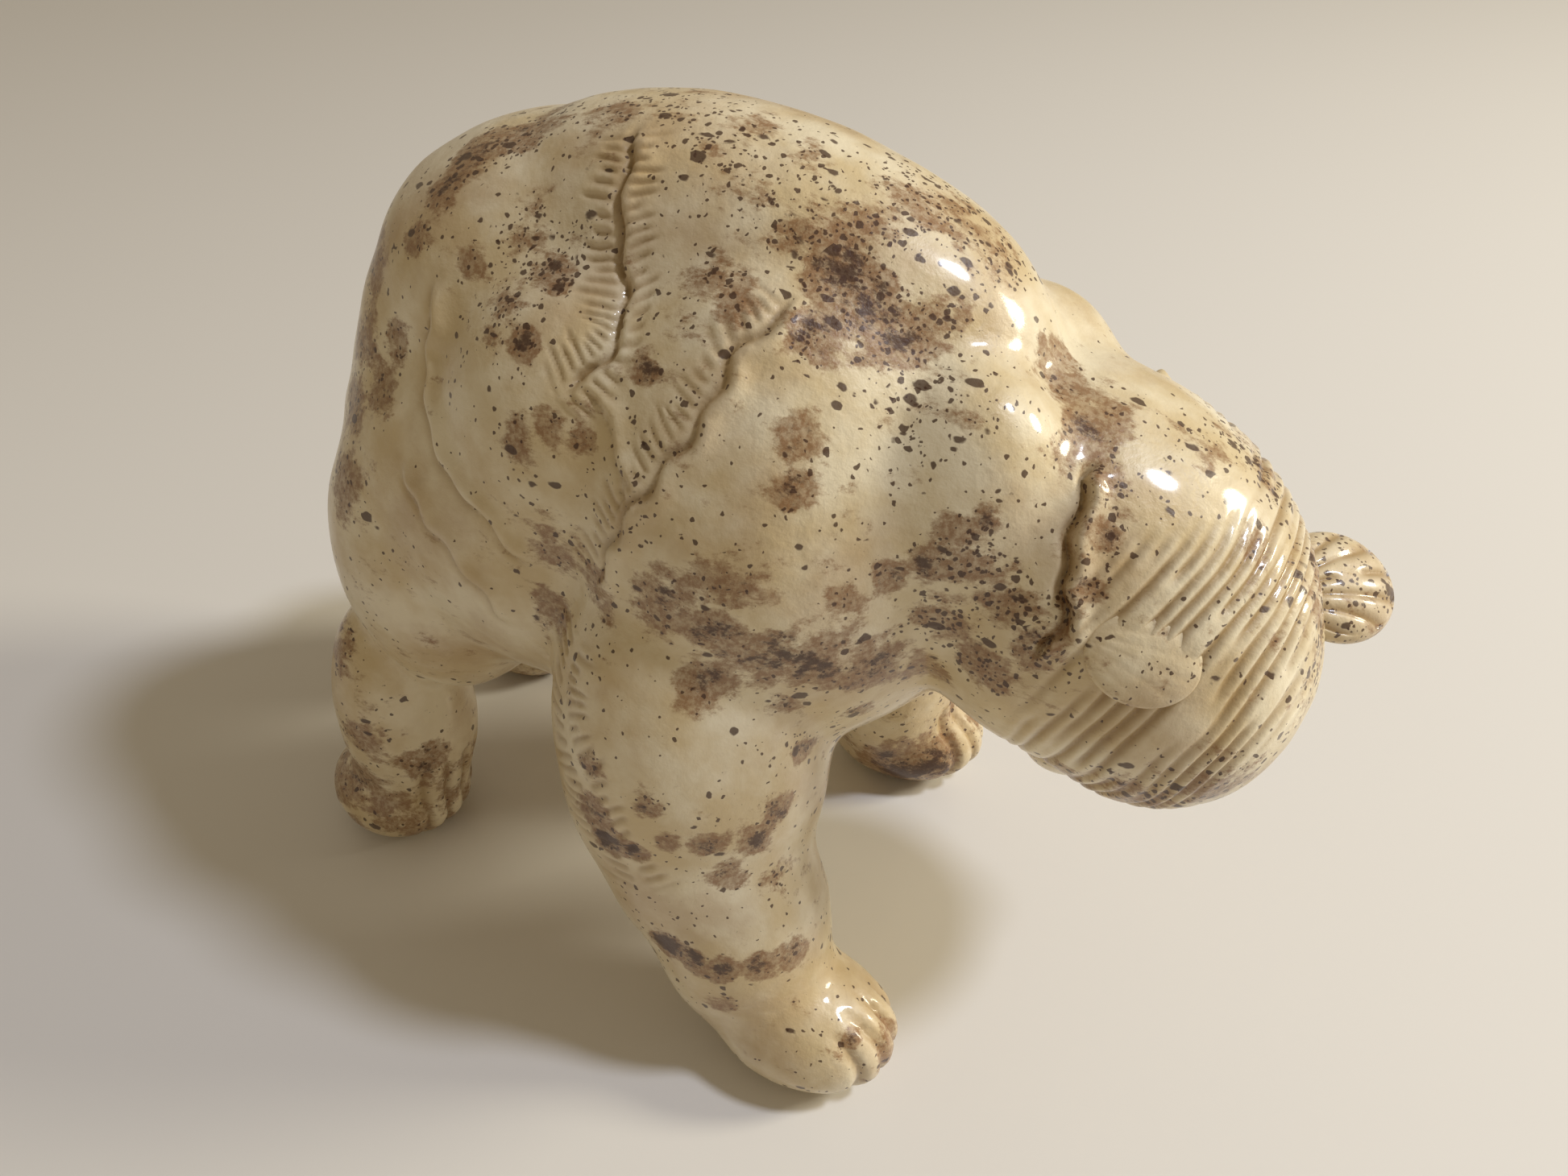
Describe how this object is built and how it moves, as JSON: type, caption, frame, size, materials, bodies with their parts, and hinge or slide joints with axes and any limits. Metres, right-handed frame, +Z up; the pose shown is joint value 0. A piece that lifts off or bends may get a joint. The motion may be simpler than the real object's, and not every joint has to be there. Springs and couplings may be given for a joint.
{
  "type": "ceramic animal figurine",
  "caption": "Hollow glazed-ceramic bear figurine walking with its head hung low, cast in pieces and luted together.",
  "frame": {"origin": "middle of the footprint box, on the plane of the soles", "axes": "+X the way the bear walks, +Y its left, +Z up"},
  "size_m": [0.124, 0.0654, 0.0975],
  "materials": {
    "glaze_cream": "gloss",
    "glaze_brown": "gloss"
  },
  "bodies": {
    "root": {"torso": "glaze_cream", "head": "glaze_cream", "tail": "glaze_cream", "nose": "glaze_brown", "foreleg_right": "glaze_cream", "foreleg_left": "glaze_cream", "hindleg_right": "glaze_cream", "hindleg_left": "glaze_cream", "ear_left": "glaze_cream", "ear_right": "glaze_cream", "eye_left": "glaze_brown", "eye_right": "glaze_brown"}
  },
  "joints": []
}
